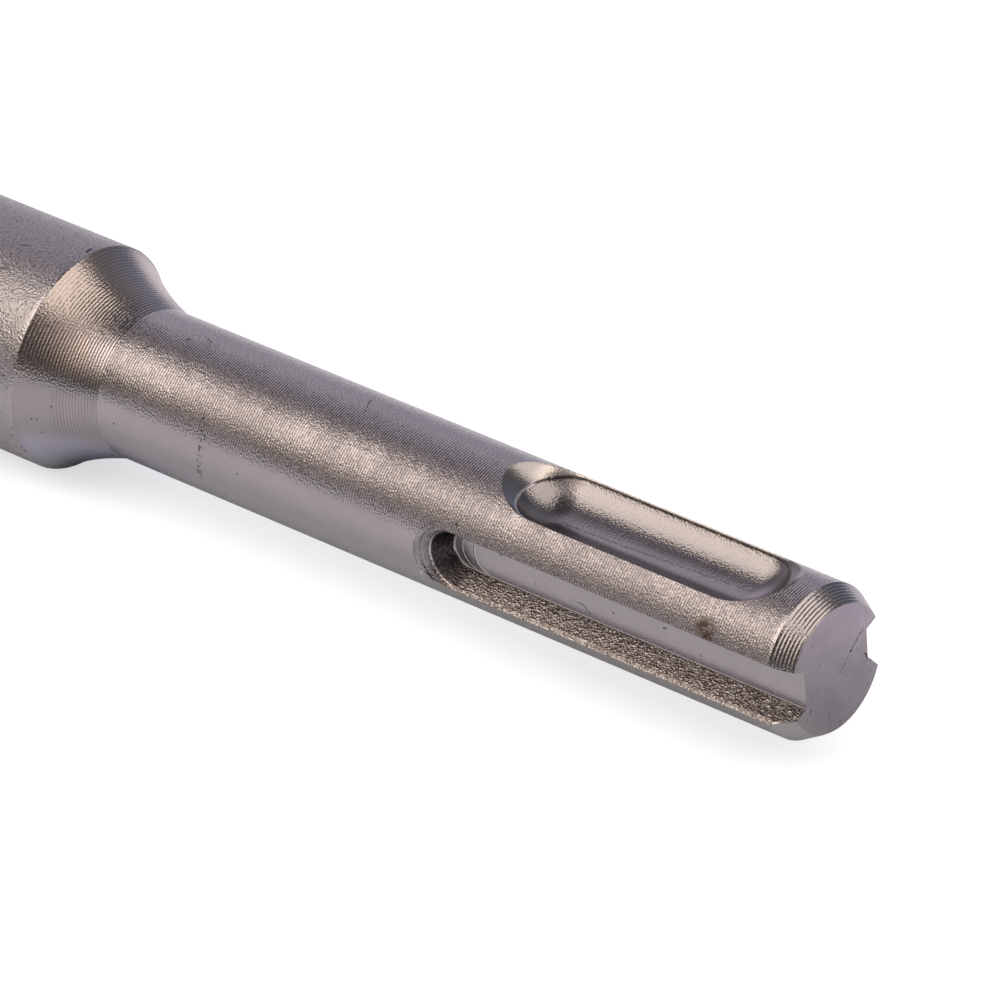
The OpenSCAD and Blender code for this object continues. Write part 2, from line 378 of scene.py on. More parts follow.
def build_bar(sizes):
    """The turned bar with its flutes, before anything is cut into it."""
    z = sizes
    outline = Outline(z)
    s = outline.stations()[:, None]
    turn = twist(z, z.total_length - np.maximum(s, z.flutes_from))
    even = 360 * np.arange(AROUND) / AROUND + 0 * s
    a = np.radians(even + turn)
    from_top = np.degrees(a - math.pi / 2) % 360
    lower = ease((from_top - LOWER_FROM) / LOWER_FADE) * ease((360 - LOWER_FROM - from_top) / LOWER_FADE)
    outline.ridged = 1 - lower * ease((s - z.neck_end + PLAIN_FROM) / 0.5)
    r = outline.radius(s) - flute_depth(z, s, even)
    y, up = r * np.cos(a), r * np.sin(a)
    back = (1 - np.cos(np.arctan2(-y, up) - math.radians(NEAR_ANGLE))) / 2
    reach = ease((s - z.shank_length) / z.neck_length) * (1 - ease((s - z.neck_end - RIM_FADE[0]) / RIM_FADE[1]))
    s = s + (RIM_NEAR + (RIM_FAR - RIM_NEAR) * back) * reach
    points = np.stack([-s, y, up], axis=2).reshape(-1, 3) * MM
    rings = len(s)
    faces = [tuple(range(AROUND))[::-1], tuple(range((rings - 1) * AROUND, rings * AROUND))]
    for i in range(rings - 1):
        first, second = i * AROUND, (i + 1) * AROUND
        faces += [(first + j, first + (j + 1) % AROUND, second + (j + 1) % AROUND, second + j) for j in range(AROUND)]
    bar = mesh_object("bar_of_steel", points, faces)
    fix_normals(bar)
    return bar


FLARE_SLOPE = math.tan(math.radians(51))    # flare round a pocket
FLANK_SLOPE = math.tan(math.radians(23))    # flanks of a groove
FILLET, FILLET_ANGLE = 0.04, 67         # fillet at the foot of a groove's flank
TRACK_FROM = math.radians(0.6)          # the ball's track begins this close to its lowest line
LIP = 0.03                              # height of the lip at a pocket's inner rim
LIP_FOOT, LIP_EDGE, FLARE_FOOT = 0.01, 0.03, 0.05    # how far its parts lie outside the inner rim
ABOVE = 1.2                             # how far a cutter stands out of the bar
BEHIND = 2.0                            # how far the groove's cutter stands out of the end face
ROUND_STEPS = 40                        # steps of a cutter's round end
POCKET_STEPS = 20                       # steps of the ball's track
# Rounded rim of a groove: depth below the sharp rim, and how far the flank gives way
RIM_ROUND = ((0.30, 0.0), (0.20, 0.02), (0.12, 0.06), (0.05, 0.12), (0.0, 0.19), (-0.05, 0.29))
RIM_OPEN = 1.5                          # slope of the cutter past that rim
# Wall of the run-out, in run-out depths: height over its floor, and how far it widens
EXIT_WIDE = 1.3
EXIT_WALL = ((0, 0), (0.3, 0.2), (0.62, 0.62), (0.86, 0.98), (1.0, EXIT_WIDE), (1.1, 1.8))
POINT_SLOPE = math.tan(math.radians(25))    # ridge of the head, seen from the flat side of the plate
JAW_SLOPE = math.tan(math.radians(40))      # the jaws beside the plate


def slot_outline(near, far, half, open_end):
    """The outline of a slot seen from above: round at its far end, and round or open at its near end."""
    turn = np.radians(np.linspace(-90, 90, ROUND_STEPS + 1))
    points = [(far + half * math.cos(a), half * math.sin(a)) for a in turn]
    if open_end:
        return points + [(near, half), (near, -half)]
    return points + [(near - half * math.cos(a), half * math.sin(-a)) for a in turn]


def cutter(name, near, far, levels, side, open_end=False):
    """A solid for cutting a slot. levels are (height over the axis, half width). side is the way it points: Y or Z."""
    points = []
    for height, half in levels:
        for s, across in slot_outline(near, far, half, open_end):
            points.append((-s, side[0] * height - side[1] * across, side[1] * height + side[0] * across))
    count = len(points) // len(levels)
    faces = [tuple(range(count)), tuple(range(len(points) - count, len(points)))]
    for i in range(len(levels) - 1):
        low, high = i * count, (i + 1) * count
        faces += [(low + j, low + (j + 1) % count, high + (j + 1) % count, high + j) for j in range(count)]
    made = mesh_object(name, np.array(points) * MM, faces)
    fix_normals(made)
    return made


def cut_pockets(bar, z):
    """Two closed pockets: a ball's track with a flare around it."""
    track_height = z.shank_radius - z.pocket_depth + z.ball_radius
    rim_height = z.shank_radius - z.pocket_rim_depth
    rim_half = math.sqrt(z.ball_radius ** 2 - (track_height - rim_height) ** 2)
    near = z.pocket_start + rim_half
    far = z.pocket_start + z.pocket_length - rim_half
    slope = np.linspace(TRACK_FROM, math.asin(rim_half / z.ball_radius), POCKET_STEPS)
    levels = [(track_height - z.ball_radius * math.cos(a), z.ball_radius * math.sin(a)) for a in slope]
    top = z.shank_radius + ABOVE
    levels += [(rim_height + LIP, rim_half + LIP_FOOT), (rim_height + LIP, rim_half + LIP_EDGE),
               (rim_height + FLARE_FOOT / FLARE_SLOPE, rim_half + FLARE_FOOT + LIP / 2),
               (top, rim_half + (top - rim_height) * FLARE_SLOPE)]
    for side in (1, -1):
        carve(bar, cutter("pocket", near, far, levels, (0, side)), "DIFFERENCE")


def cut_grooves(bar, z):
    """Two open grooves with a shallow run-out at the end."""
    floor = z.shank_radius - z.groove_depth
    floor_half = z.groove_floor_width / 2
    half = floor_half
    for _ in range(12):    # finds the half width where the flank meets the round of the shank
        half = floor_half + FLANK_SLOPE * (math.sqrt(z.shank_radius ** 2 - half ** 2) - floor)
    end = z.groove_length - half
    exit_half = half - z.exit_depth / 2
    exit_at = z.groove_length + z.exit_length - exit_half - EXIT_WIDE * z.exit_depth
    top = z.shank_radius + ABOVE
    turn = math.radians(FILLET_ANGLE)
    back = FILLET * math.tan(turn / 2)
    fillet = [(floor + FILLET * (1 - math.cos(a)), floor_half - back + FILLET * math.sin(a))
              for a in np.linspace(0, turn, 5)]
    rim = math.sqrt(z.shank_radius ** 2 - half ** 2)
    levels = fillet + [(rim - down, floor_half + (rim - down - floor) * FLANK_SLOPE + out) for down, out in RIM_ROUND]
    levels.append((top, levels[-1][1] + RIM_OPEN * (top - levels[-1][0])))
    shallow = z.shank_radius - z.exit_depth
    run_out = [(shallow + up * z.exit_depth, exit_half + across * z.exit_depth) for up, across in EXIT_WALL]
    for side in (1, -1):
        carve(bar, cutter("groove", -BEHIND, end, levels, (side, 0), open_end=True), "DIFFERENCE")
        carve(bar, cutter("run_out", exit_at, exit_at, run_out, (side, 0)), "DIFFERENCE")


def cut_head(bar, z):
    """Cuts the point, the jaws beside the plate, and the slot that the plate and its braze fill."""
    wide = 3 * z.body_radius    # the prisms reach this far to each side, and well past both ends of the bit
    back = 10
    plate_half = (PLATE_BOX[1].z - PLATE_BOX[0].z) / 2 / MM
    slot_half = (BRAZE_BOX[1].z - BRAZE_BOX[0].z) / 2 / MM
    tip = z.stand_out - z.total_length

    def wedge(at, slope):
        return [(back, wide), (at + wide * slope, wide), (at, 0), (at + wide * slope, -wide), (back, -wide)]

    carve(bar, prism("roof", wedge(tip, POINT_SLOPE), -wide, wide, (0, 1, 2)), "INTERSECT")
    carve(bar, prism("jaws", wedge(tip - plate_half * JAW_SLOPE, JAW_SLOPE), -wide, wide, (0, 2, 1)), "INTERSECT")
    seat, front = BRAZE_BOX[1].x / MM, -z.total_length - 5
    slot = [(front, -slot_half), (seat, -slot_half), (seat, slot_half), (front, slot_half)]
    carve(bar, prism("slot", slot, -wide, wide, (0, 2, 1)), "DIFFERENCE")


def mesh_object(name, points, faces):
    mesh = bpy.data.meshes.new(name)
    mesh.from_pydata([tuple(p) for p in points], [], faces)
    mesh.validate()
    made = bpy.data.objects.new(name, mesh)
    bpy.context.scene.collection.objects.link(made)
    return made


def prism(name, outline, low, high, axes):
    """A straight prism: outline points lie along the first two axes, low to high along the third."""
    count = len(outline)
    points = np.zeros((2 * count, 3))
    for level, value in enumerate((low, high)):
        for i, (a, b) in enumerate(outline):
            points[level * count + i, list(axes)] = (a, b, value)
    sides = [(i, (i + 1) % count, count + (i + 1) % count, count + i) for i in range(count)]
    made = mesh_object(name, points * MM, [tuple(range(count))[::-1], tuple(range(count, 2 * count)), *sides])
    fix_normals(made)
    return made


def fix_normals(made):
    work = bmesh.new()
    work.from_mesh(made.data)
    bmesh.ops.recalc_face_normals(work, faces=work.faces)
    work.to_mesh(made.data)
    work.free()


def carve(made, tool, operation):
    """Applies an exact boolean and takes the tool away."""
    change = made.modifiers.new("carve", "BOOLEAN")
    change.operation = operation
    change.solver = "EXACT"
    change.object = tool
    bpy.context.view_layer.update()
    result = bpy.data.meshes.new_from_object(made.evaluated_get(bpy.context.evaluated_depsgraph_get()))
    made.modifiers.clear()
    made.data = result
    bpy.data.objects.remove(tool)


SHARP_FROM = math.radians(28)    # edges that turn more than this are drawn sharp


class BIT_OT_steel(Operator):
    """Build the steel bar in fine detail in place of its plain solid"""
    bl_idname = "drill_bit.steel"
    bl_label = "Steel bar"

    def execute(self, context):
        sizes = sizes_in_mm()
        bar = build_bar(sizes)
        cut_pockets(bar, sizes)
        cut_grooves(bar, sizes)
        cut_head(bar, sizes)
        bar.data.materials.clear()
        bar.data.materials.append(Steel(sizes).material())
        bar.data.shade_smooth()
        bar.data.set_sharp_from_angle(angle=SHARP_FROM)
        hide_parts("steel_body")
        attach(bar, BODY)
        return {"FINISHED"}


# Marks on the photographed bit, in millimetres and degrees. A place on the round surface is a distance from the end
# face and an angle from the top toward the camera.
# Cracks and scratches: from, to, half width
CRACKS = (
    ((65.5, 6), (66.3, 9), 0.07), ((65.5, 23), (66.0, 25), 0.10), ((66.0, 25), (66.9, 27), 0.08),
    ((61.9, -5), (62.1, -9), 0.14), ((37.9, -10.5), (37.2, 4.5), 0.06), ((36.4, -11.5), (37.0, -37), 0.03),
    ((51.5, -4.5), (50.7, -1.5), 0.05), ((41.3, 1), (41.0, 16), 0.03), ((29.0, 94), (28.75, 100), 0.07),
    ((28.75, 100), (28.6, 107), 0.12), ((28.6, 107), (28.35, 112), 0.16), ((22.7, 65.5), (22.0, 66), 0.07),
)
# Scratches and pits on the groove's floor, as points in space: from, to, half width
FLOOR_MARKS = (
    ((-18.6, -2.9, -0.55), (-17.6, -2.9, -0.50), 0.05), ((-17.6, -2.9, -0.50), (-16.95, -2.9, -0.94), 0.06),
    ((-24.2, -2.9, 0.60), (-24.0, -2.9, 0.65), 0.08), ((-21.4, -2.9, -0.5), (-21.4, -2.9, -0.5), 0.09),
    ((-20.0, -2.9, 0.35), (-20.0, -2.9, 0.35), 0.07), ((-15.1, -2.9, -0.2), (-15.0, -2.9, -0.2), 0.07),
    ((-11.0, -2.9, 0.30), (-10.9, -2.9, 0.30), 0.08), ((-8.2, -2.9, -0.6), (-8.2, -2.9, -0.6), 0.08),
)
# Pits on the round surface: distance, angle, half width
PITS = (
    (52.28, 5, 0.17), (26.36, 57.5, 0.16), (60.64, 96, 0.09), (60.36, 96, 0.09), (59.44, 87, 0.11),
    (60.32, 106, 0.09), (55.02, 89, 0.13), (65.96, -18, 0.08), (47.68, 121.5, 0.10), (46.08, 115.5, 0.09),
    (44.36, 88, 0.07), (35.06, -14, 0.08), (61.56, -5, 0.13), (63.6, 60, 0.10), (64.4, 40, 0.08),
)
# Scratches and pits on the end face, as points in space: from, to, half width
END_MARKS = (
    ((0, 2.51, 1.50), (0, 1.37, 0.61), 0.08), ((0, 1.37, 0.61), (0, 0.27, -0.52), 0.05),
    ((0, 1.37, 0.61), (0, 1.37, 0.61), 0.14), ((0, 1.98, 0.45), (0, 1.98, 0.45), 0.08),
    ((0, 0.42, -1.74), (0, 0.42, -1.74), 0.07), ((0, -2.43, -1.64), (0, -2.92, -2.08), 0.06),
    ((0, 0.03, -4.14), (0, 0.1, -3.7), 0.06), ((0, 2.85, -0.75), (0, 2.66, -0.30), 0.13),
)
SPECKLED = ((47.7, 56), (47.3, 72), (47.9, 104))    # a line of specks across the shank
STAIN = ((6.6, 57.0), (6.2, 61.0))                  # the rust stain: from, to
BURR = (29.2, 108.7)                                # a burr at the groove's end, painted with a bright glint
TOOL_ARCS = (26.67, 26.05, 25.07)                   # middles of the arcs that the cutter left on the groove's floor
EXIT_ARCS = (2.66, 2.36, 2.12)                      # radii of the arcs that it scraped round the groove's end

# Where the finish changes. Each pair runs from the place where a mask is 0 to the place where it is 1.
GROOVE_HALF = (2.25, 2.15)              # the groove is nearer to the middle of the side than this
GROOVE_FLOOR = (3.02, 2.96)             # and its floor is nearer to the axis than this
GROOVE_CENTRE = 26.67                   # middle of the groove's round end
ARC_RADIUS = 1.28                       # radius of the groove's floor at that end
RUN_OUT_CENTRE = 26.85                  # middle of the scraped arcs
RUN_OUT_FROM = (27.6, 28.2)
MOUTH_HEIGHT = 4.38                     # height over the axis of the rim at the groove's end that gets a painted highlight
FOOT_SLOPE, FOOT_SIDE = 0.055, 0.9      # the pocket's near wall ends at y = FOOT_SIDE - FOOT_SLOPE * s
FOOT_LINE_FROM, FOOT_LINE_TO = (7.0, 7.6), (21.4, 20.8)
POCKET_NEAR_END = (7.2, 6.4)
FLARE_FAR_END, FLARE_HIGHLIGHT_TO = (20.5, 21.0), (24.9, 24.0)
LIT_RIM_FROM = (19.8, 20.8)
LOWER_SIDE = (3.0, 1.5)
NECK_WARM = (57.0, 58.6)                # the neck mirrors a warm light here

# Tints that are painted on the steel, among them painted shade, highlights and reflections
HOLLOW_SHADE_BROWN = (1.0, 0.86, 0.74)               # painted shade between the turning marks
NECK_RIDGE_SHEEN = (0.72, 0.58, 0.46)               # painted warm highlight on the neck's ridges
FACE_DARK, FACE_LIGHT = (0.17, 0.150, 0.185), (0.40, 0.36, 0.42)
# Painted reflections of the pale floor on the undersides of the neck and of the shank
NECK_UNDERSIDE_REFLECTION, SHANK_UNDERSIDE_REFLECTION = (0.44, 0.44, 0.56), (0.46, 0.47, 0.58)
FLARE_HIGHLIGHT_TINT, RIM_HIGHLIGHT_TINT = (0.88, 0.83, 0.78), (0.80, 0.78, 0.79)
MOUTH_HIGHLIGHT_TINT, BRIGHT_ARC = (0.80, 0.77, 0.79), (0.75, 0.72, 0.72)
GRIT = (0.12, 0.098, 0.082)             # between the grains of the groove's flank
RUN_OUT_SHADE_GREY, SCRAPED = (0.12, 0.12, 0.13), (0.07, 0.065, 0.065)
RIM_SHADE_TINT, END_WALL_SHADE_TINT = (0.10, 0.085, 0.075), (0.05, 0.046, 0.05)
DIRT, BURR_GLINT_TINT = (0.045, 0.038, 0.034), (0.95, 0.93, 0.92)


def times(share, tint):
    return tuple(share * c for c in tint)


class Steel:
    """Turned and blasted steel: turning marks on the round surfaces, blasted grain, the marks of the photograph, and
    painted shade, highlights and reflections.

    Masks run from 0 to 1. s is the distance from the end face, out the distance from the axis, high and aside the
    distances from the level and the upright middle plane, all in millimetres.
    """

    def __init__(self, sizes):
        self.sizes = sizes
        self.finish = bpy.context.scene.bit_finish
        self.outline = Outline(sizes)
        self.g = g = Graph(bpy.data.materials.new("turned_and_blasted_steel"))
        self.at = g.place()
        x, self.y, self.z = g.parts(self.at)
        self.s = 0 - x
        self.out = g.root(self.y * self.y + self.z * self.z)
        self.high, self.aside = g.size(self.z), g.size(self.y)
        self.coarse = g.noise(self.at, 3.4, 2.0, 0.55)
        self.waver = g.noise(g.stretch(self.at, (0.4, 0.2, 0.2)), 1.0, 2.0, 0.5)
        self.surfaces()
        self.grooves()
        self.pockets()
        self.neck()
        self.turning()
        self.tool_marks()
        self.dirt()

    def surfaces(self):
        """The end face, the body, what was cut into the shank, and the turned round surface of the shank."""
        g, s, out, sizes = self.g, self.s, self.out, self.sizes
        self.on_shank = g.step(s, sizes.shank_length + 0.05, sizes.shank_length - 0.05)
        self.end_face = g.step(s, 0.03, 0.01)
        self.on_body = g.step(s, sizes.neck_end - 0.3, sizes.neck_end + 0.2)
        below_shank = g.step(sizes.shank_radius - out, 0.03, 0.12) * self.on_shank * g.step(s, 1.36, 1.46)
        slope = (sizes.shank_radius - sizes.end_face_radius) / sizes.chamfer_length
        below_chamfer = g.step(out - sizes.end_face_radius - s * slope, -0.12, -0.2) * g.step(s, 1.7, 1.5)
        self.cut = g.most(below_shank, below_chamfer) * (1 - self.end_face)
        self.turned = self.on_shank * (1 - self.cut) * g.step(s, 1.5, 1.8)
        # The band on the shank that the key lamp lights: the turning marks are strongest there and get painted
        # highlights and shade
        self.in_band = g.step(self.y, -4.9, -4.4) * g.step(self.y, 0.6, -0.8) * g.step(self.z, 0, 1.2)

    def grooves(self):
        g, s, aside = self.g, self.s, self.aside
        self.in_groove = in_groove = self.cut * g.step(self.high, *GROOVE_HALF)
        self.groove_floor = in_groove * g.step(aside, *GROOVE_FLOOR) * g.step(self.high, 1.5, 1.4)
        past = g.most(s - GROOVE_CENTRE, 0)
        from_end = g.root(past * past + self.z * self.z)
        self.end_wall = in_groove * g.step(s, 26.3, 27.0) * g.step(from_end, 1.30, 1.40) * g.step(aside, 4.42, 4.30)
        self.flank = in_groove * (1 - self.groove_floor) * g.step(aside, 4.60, 4.50)
        self.run_out = in_groove * g.step(s, *RUN_OUT_FROM) * g.step(aside, 4.42, 4.50)
        # The rim at the groove's end, where a highlight is painted
        self.mouth_highlight = in_groove * g.step(s, 26.8, 27.4) * g.step(g.size(aside - MOUTH_HEIGHT), 0.07, 0.02)

    def pockets(self):
        """The near wall and its foot, the far wall, the near end, the flare and the inner rim of the pockets."""
        g, s, y, high = self.g, self.s, self.y, self.high
        self.in_pocket = in_pocket = self.cut * (1 - self.in_groove)
        from_foot = y + FOOT_SLOPE * s - FOOT_SIDE
        self.near_side = in_pocket * g.step(from_foot, 0.04, -0.04) * g.step(self.out, 4.0, 3.9)
        foot_line = in_pocket * g.step(g.size(from_foot), 0.08, 0.03) * g.step(self.coarse, 0.42, 0.52)
        self.foot_line = foot_line * g.step(s, *FOOT_LINE_FROM) * g.step(s, *FOOT_LINE_TO)
        self.near_end = in_pocket * g.step(s, *POCKET_NEAR_END)
        inner_rim = self.sizes.shank_radius - self.sizes.pocket_rim_depth
        self.flare = in_pocket * g.step(high, inner_rim, inner_rim + 0.08)
        self.far_wall = in_pocket * (1 - self.flare) * g.step(from_foot, 0.2, 0.9)
        # Where the flare at the pocket's far end gets a painted highlight
        highlight_to = g.step(y, 0.3, 1.4) * g.step(s, *FLARE_HIGHLIGHT_TO)
        self.flare_highlight = self.flare * g.step(s, *FLARE_FAR_END) * highlight_to
        # The pocket's inner rim, which gets a painted shade line and, on its lit side, a painted highlight line
        self.rim_line = in_pocket * g.step(g.size(high - inner_rim - 0.02), 0.08, 0.04)
        self.lit_rim = g.step(s, *LIT_RIM_FROM) * g.step(y, 0.9, 0.3)

    def neck(self):
        """The neck, and the crests of its turning ridges. turns is the place of a point before the rim was tilted."""
        g, sizes, outline = self.g, self.sizes, self.outline
        starts = g.step(self.s, sizes.shank_length + 0.02, sizes.shank_length + 0.08)
        self.on_neck = starts * g.step(self.out, sizes.body_radius, sizes.body_radius - 0.1)
        self.lower_side = g.step(self.z, *LOWER_SIDE)
        hollow = outline.curve_r - self.out
        self.turns = turns = g.root(g.most(sizes.neck_curve ** 2 - hollow * hollow, 0)) + outline.curve_s
        phase = (turns - sizes.shank_length) * (2 * math.pi / TURNING_PITCH)
        self.ridge = 0.5 + 0.5 * g.maths("COSINE", phase)
        plain = g.step(turns, sizes.neck_end - PLAIN_FROM, sizes.neck_end - PLAIN_FROM + 0.5)
        self.ridged = self.on_neck * (1 - self.lower_side * plain)

    def turning(self):
        """Fine turning marks of the shank, strongest in the band that the key lamp lights."""
        g = self.g
        faint = g.step(self.waver, 0.3, 0.6)
        self.crest = 0.5 + 0.5 * g.maths("SINE", self.s * (2 * math.pi / TURNING_PITCH) + self.waver)
        self.lines = self.crest * self.turned * (0.22 + 0.95 * self.in_band) * (0.6 + 0.4 * faint)

    def tool_marks(self):
        """Arcs of the groove's cutter on the floor and round the groove's end."""
        g, s, z = self.g, self.s, self.z
        arcs = []
        for centre in TOOL_ARCS:
            along = g.most(s - centre, 0)
            ring = g.size(g.root(along * along + z * z) - ARC_RADIUS)
            arcs.append(g.step(ring, 0.09, 0.02) * g.step(s, centre, centre + 0.4))
        self.arcs = g.most(*arcs) * self.groove_floor
        from_exit = g.root((s - RUN_OUT_CENTRE) * (s - RUN_OUT_CENTRE) + z * z)
        scrapes = [g.step(g.size(from_exit - radius + 0.05 * self.waver), 0.08, 0.02) for radius in EXIT_ARCS]
        shown = g.step(s, *RUN_OUT_FROM) * g.step(self.out, 4.2, 4.5) * self.on_shank
        self.scrapes = g.most(*scrapes) * shown * g.step(self.coarse, 0.35, 0.55) * g.step(self.y, 0, -1)

    def on_bar(self, along, angle):
        """The point on the round surface at a distance from the end face and an angle from the top."""
        r = float(self.outline.radius(np.array(along)))
        return -along, -r * math.sin(math.radians(angle)), r * math.cos(math.radians(angle))

    def dirt(self):
        """Cracks, pits, specks, the burr with its painted glint, and the rust stain, all with ragged borders."""
        g, on_bar = self.g, self.on_bar
        wobble = g.vector("SUBTRACT", g.noise(self.at, 3.0, 2.0, 0.6, out=1), (0.5, 0.5, 0.5))
        ragged = g.vector("ADD", self.at, g.stretch(wobble, (0.35, 0.35, 0.35)))
        spots = g.noise(self.at, 4.2, 1.0, 0.5)
        lines = [(on_bar(*start), on_bar(*end), half) for start, end, half in CRACKS]
        dark = [g.step(g.reach(ragged, start, end), half, 0.4 * half)
                for start, end, half in (*lines, *END_MARKS, *FLOOR_MARKS)]
        for along, angle, half in PITS:
            dark.append(g.step(g.reach(ragged, on_bar(along, angle), on_bar(along, angle)), half, 0.5 * half))
        for start, end in zip(SPECKLED, SPECKLED[1:]):
            near = g.step(g.reach(ragged, on_bar(*start), on_bar(*end)), 0.34, 0.10)
            dark.append(near * g.step(spots, 0.52, 0.58))
        dark.append(g.step(spots, 0.69, 0.73) * self.on_body + g.step(spots, 0.73, 0.76) * self.end_face)
        self.dark = g.most(*dark)
        self.burr_glint = g.step(g.reach(self.at, on_bar(*BURR), on_bar(*BURR)), 0.12, 0.06)
        stained = g.step(g.reach(ragged, on_bar(*STAIN[0]), on_bar(*STAIN[1])), 0.95, 0.15)
        self.stained = stained * (0.35 + 0.65 * g.step(self.coarse, 0.36, 0.55))

    def relief(self, dent, smooth, rugged):
        """The surface tilted by its grain and its turning marks."""
        finish = self.finish
        grain = (0.08 + 0.8 * rugged) * (self.coarse - 0.5) + (0.55 + 0.40 * rugged) * (dent - 0.4)
        relief = grain * (1 - 0.9 * smooth) + 0.25 * self.arcs + 0.4 * self.foot_line
        return self.g.bump(relief * (finish.grain_depth / MM) + self.lines * (finish.line_depth / MM), 1.0)

    def base(self, cell, smooth, blotch):
        """The steel's colour: blotches and a tone for each grain, with painted highlights on the crests of the turning
        marks in the key lamp's band and on the neck's ridges, and painted shade between those ridges.
        """
        steel = self.finish.steel
        grained = self.g.most(self.in_band, self.on_body, self.in_pocket)
        strength = (0.06 + 0.30 * grained) * (1 - smooth) + 1.05 * self.flank
        tone = 0.32 + 0.30 * blotch + strength * (cell - 0.5)
        # Painted highlights on the crests of the turning marks in the lamp's band, and on the neck's ridges with
        # painted shade in their hollows
        tone = tone + 0.06 * self.crest * self.in_band * self.turned + 0.35 * (self.ridge - 0.5) * self.ridged
        return self.g.mix(tone, times(0.70, steel), times(1.35, steel))

    def layers(self, cell, blotch):
        """What lies over that colour, in order: each layer's share and its tint."""
        g, s, y, z, steel = self.g, self.s, self.y, self.z, self.finish.steel
        turned, on_neck, in_band = self.turned, self.on_neck, self.in_band
        hollow_shade = tuple(0.40 * c * warm for c, warm in zip(steel, HOLLOW_SHADE_BROWN))
        darker = times(0.45, steel)
        # Darker steel on the body, and painted shade in the pockets, on their far wall and on the shank outside the key
        # lamp's band
        dark_body_and_shade = 0.24 * self.on_body + 0.24 * self.in_pocket + 0.30 * self.far_wall + 0.14 * turned * (1 - in_band)
        return (
            # Painted shade in the hollows between the turning marks, deeper in the key lamp's band, and between the
            # neck's ridges
            ((0.04 + 0.30 * in_band) * (1 - self.crest) * turned + 0.28 * (1 - self.ridge) * self.ridged, hollow_shade),
            # Painted warm reflection on the upper side of the neck's ridges
            (0.24 * self.ridged * (1 - self.lower_side) * g.step(self.turns, *NECK_WARM), NECK_RIDGE_SHEEN),
            (0.60 * self.end_face, g.mix(blotch, FACE_DARK, FACE_LIGHT)),
            # Painted shade on the neck's lower side and at the pocket's near end
            (0.36 * on_neck * self.lower_side + 0.42 * self.near_end, darker),
            # Painted reflection of the floor, bluish, on the undersides of the neck and of the shank
            (0.70 * on_neck * g.step(z, -1.2, -3.2), NECK_UNDERSIDE_REFLECTION),
            (0.35 * turned * g.step(s, 27.5, 29.0) * g.step(z, -0.5, -2.0), SHANK_UNDERSIDE_REFLECTION),
            # Painted highlight on the flare at the pocket's far end
            (0.70 * self.flare_highlight, FLARE_HIGHLIGHT_TINT),
            (dark_body_and_shade, darker),
            (self.flank * (0.34 + 0.56 * (1 - cell)), GRIT),
            # Painted shade in the shallow dish of the run-out
            (0.48 * self.run_out, RUN_OUT_SHADE_GREY),
            (0.55 * self.scrapes, SCRAPED),
            # Painted highlight on the rim at the groove's end
            (0.75 * self.mouth_highlight, MOUTH_HIGHLIGHT_TINT),
            # Painted shade line along the pocket's inner rim, and a painted highlight line on its lit side
            (0.70 * self.rim_line * (1 - self.lit_rim), RIM_SHADE_TINT),
            (0.70 * self.rim_line * self.lit_rim, RIM_HIGHLIGHT_TINT),
            # Painted shade on the wall at the groove's end
            (0.82 * self.end_wall, END_WALL_SHADE_TINT),
            (0.30 * self.arcs, BRIGHT_ARC),
            (0.85 * self.dark, DIRT),
            # Painted glint on the burr at the groove's end
            (self.burr_glint, BURR_GLINT_TINT),
            (0.88 * self.stained, self.finish.stain),
        )

    def material(self):
        g = self.g
        dent, cell = g.cells(self.at, 6.8)
        ridges = g.most(self.on_neck, g.step(self.s, 1.5, 1.4) * (1 - self.cut))
        underside = g.step(self.z, 2.0, 0.6) * (1 - self.in_groove)
        smooth = g.most(self.groove_floor, self.end_face, self.near_side, 0.85 * self.flare, 0.7 * self.near_end,
                        0.45 * ridges, 0.35 * self.in_pocket, 0.60 * underside)
        rugged = g.most(self.flank, self.on_body * 0.9)
        blotch = g.noise(self.at, 0.45, 4.0, 0.6)
        shade = self.base(cell, smooth, blotch)
        for share, tint in self.layers(cell, blotch):
            shade = g.mix(share, shade, tint)
        roughness = self.finish.roughness - 0.05 + 0.08 * cell * (1 - smooth) + 0.25 * self.dark
        roughness = roughness + 0.08 * self.stained + 0.06 * rugged
        return g.finish({"Metallic": 1.0}, Base_Color=shade, Roughness=roughness,
                        Normal=self.relief(dent, smooth, rugged))


HONED_EDGE = 0.08                       # width of the plate's honed edges in millimetres
HONED_FROM = math.radians(15)           # edges that turn more than this are honed


class BIT_OT_plate(Operator):
    """Give the cutting plate its ground edges and sintered finish"""
    bl_idname = "drill_bit.plate"
    bl_label = "Cutting plate"

    def execute(self, context):
        finish = context.scene.bit_finish
        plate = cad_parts["carbide_plate"]
        edge = plate.modifiers.new("honed_edges", "BEVEL")
        edge.width = HONED_EDGE * MM
        edge.segments = 2
        edge.limit_method = "ANGLE"
        edge.angle_limit = HONED_FROM
        g = Graph(bpy.data.materials.new("sintered_hard_metal"))
        at = g.place()
        grain = g.noise(at, 9.0, 3.0, 0.6)
        ground = g.noise(g.stretch(at, (1.0, 1.0, 12.0)), 1.2, 3.0, 0.6)
        shade = g.mix(ground, times(0.8, finish.hard_metal), times(1.2, finish.hard_metal))
        material = g.finish({"Metallic": 0.8}, Base_Color=shade, Roughness=0.34 + 0.2 * grain,
                            Normal=g.bump(grain + ground, 0.01))
        plate.data.materials.clear()
        plate.data.materials.append(material)
        return {"FINISHED"}


